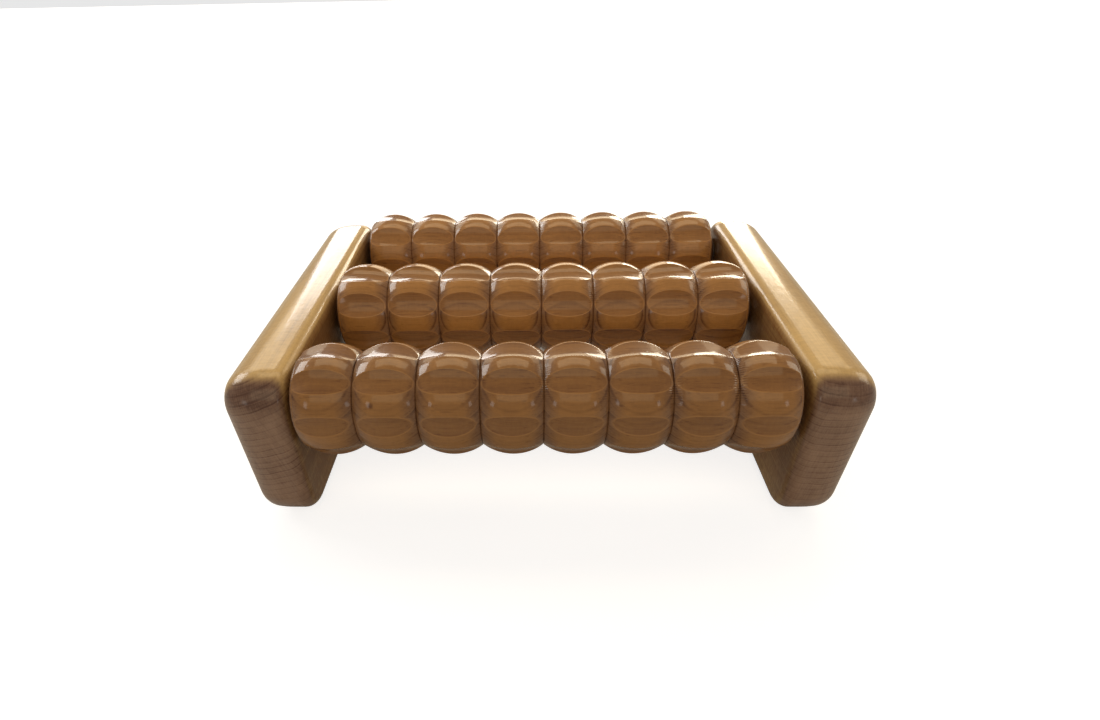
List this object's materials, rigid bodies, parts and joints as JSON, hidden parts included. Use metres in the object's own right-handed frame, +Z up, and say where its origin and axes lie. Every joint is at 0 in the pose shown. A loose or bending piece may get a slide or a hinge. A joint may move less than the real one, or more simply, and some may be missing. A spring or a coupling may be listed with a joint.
{
  "type": "foot massage roller",
  "caption": "Wooden foot massager: fluted, barrel-beaded rollers spin on steel axles between two solid rounded side rails.",
  "frame": {"origin": "on the floor, under the middle of the object's bounding box", "axes": "+Z up; +X along the rollers towards the right-hand rail; -Y towards the front roller"},
  "size_m": [0.2308, 0.1703, 0.0743],
  "materials": {
    "rail_wood": "clear gloss lacquer over honey-brown solid wood, long grain front to back, ringed end grain",
    "roller_wood": "clear gloss lacquer over turned red-brown wood, grain along the roller",
    "plug_wood": "clear gloss lacquer over face-grain wood plugs",
    "axle_steel": "bright drawn steel bar",
    "fibre": "dark red-brown vulcanised fibre",
    "zinc_steel": "zinc-plated steel",
    "nylon": "dark brown turned nylon",
    "rubber": "matt anti-slip rubber"
  },
  "bodies": {
    "frame": {"left_rail": "rail_wood", "right_rail": "rail_wood", "front_axle": "axle_steel", "front_left_washer": "fibre", "front_left_screw": "zinc_steel", "front_left_plug": "plug_wood", "front_right_washer": "fibre", "front_right_screw": "zinc_steel", "front_right_plug": "plug_wood", "middle_axle": "axle_steel", "middle_left_washer": "fibre", "middle_left_screw": "zinc_steel", "middle_left_plug": "plug_wood", "middle_right_washer": "fibre", "middle_right_screw": "zinc_steel", "middle_right_plug": "plug_wood", "rear_axle": "axle_steel", "rear_left_washer": "fibre", "rear_left_screw": "zinc_steel", "rear_left_plug": "plug_wood", "rear_right_washer": "fibre", "rear_right_screw": "zinc_steel", "rear_right_plug": "plug_wood", "front_left_pad": "rubber", "front_right_pad": "rubber", "rear_left_pad": "rubber", "rear_right_pad": "rubber"},
    "front_roller_set": {"front_roller": "roller_wood", "front_left_bush": "nylon", "front_right_bush": "nylon"},
    "middle_roller_set": {"middle_roller": "roller_wood", "middle_left_bush": "nylon", "middle_right_bush": "nylon"},
    "rear_roller_set": {"rear_roller": "roller_wood", "rear_left_bush": "nylon", "rear_right_bush": "nylon"}
  },
  "joints": [
    {"name": "front_roller_spin", "type": "hinge", "parent": "frame", "child": "front_roller_set", "pos_m": [0, -0.065, 0.0528], "axis": [1, 0, 0], "continuous": true},
    {"name": "middle_roller_spin", "type": "hinge", "parent": "frame", "child": "middle_roller_set", "pos_m": [0, 0, 0.054], "axis": [1, 0, 0], "continuous": true},
    {"name": "rear_roller_spin", "type": "hinge", "parent": "frame", "child": "rear_roller_set", "pos_m": [0, 0.065, 0.0528], "axis": [1, 0, 0], "continuous": true}
  ]
}
